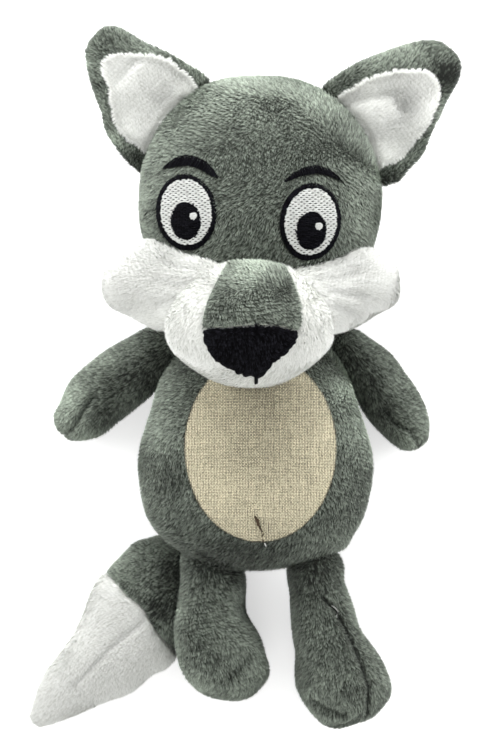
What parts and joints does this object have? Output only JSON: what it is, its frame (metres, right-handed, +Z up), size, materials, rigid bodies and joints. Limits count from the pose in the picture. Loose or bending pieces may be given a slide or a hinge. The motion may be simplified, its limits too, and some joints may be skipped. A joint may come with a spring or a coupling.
{
  "type": "plush wolf",
  "caption": "Stuffed plush wolf toy lying on its back, with cupped ears, white cheeks and muzzle, embroidered eyes, an oval linen belly panel and a bushy two-tone tail.",
  "frame": {"origin": "the flat spot on the back of the torso, on the surface that the toy lies on", "axes": "+X towards the toy's left side (the viewer's right), +Y from the feet towards the ears, +Z up out of the surface, the way the face looks"},
  "size_m": [0.1857, 0.3032, 0.1065],
  "materials": {
    "grey_plush": "short pile plush with a brushed nap",
    "white_plush": "short pile plush",
    "black_plush": "short pile plush",
    "linen": "coarse plain weave",
    "black_thread": "satin stitch embroidery",
    "white_thread": "satin stitch embroidery"
  },
  "bodies": {
    "root": {"torso": "grey_plush", "belly_panel": "linen", "head": "grey_plush", "left_ear": "grey_plush", "left_ear_lining": "white_plush", "right_ear": "grey_plush", "right_ear_lining": "white_plush", "left_cheek": "white_plush", "right_cheek": "white_plush", "muzzle": "white_plush", "muzzle_bridge": "grey_plush", "nose": "black_plush", "left_eye_outline": "black_thread", "left_eye_white": "white_thread", "left_pupil": "black_thread", "left_eye_highlight": "white_thread", "left_eyebrow": "black_thread", "right_eye_outline": "black_thread", "right_eye_white": "white_thread", "right_pupil": "black_thread", "right_eye_highlight": "white_thread", "right_eyebrow": "black_thread", "left_arm": "grey_plush", "right_arm": "grey_plush", "left_leg": "grey_plush", "right_leg": "grey_plush", "tail_base": "grey_plush", "tail_tip": "white_plush"}
  },
  "joints": []
}
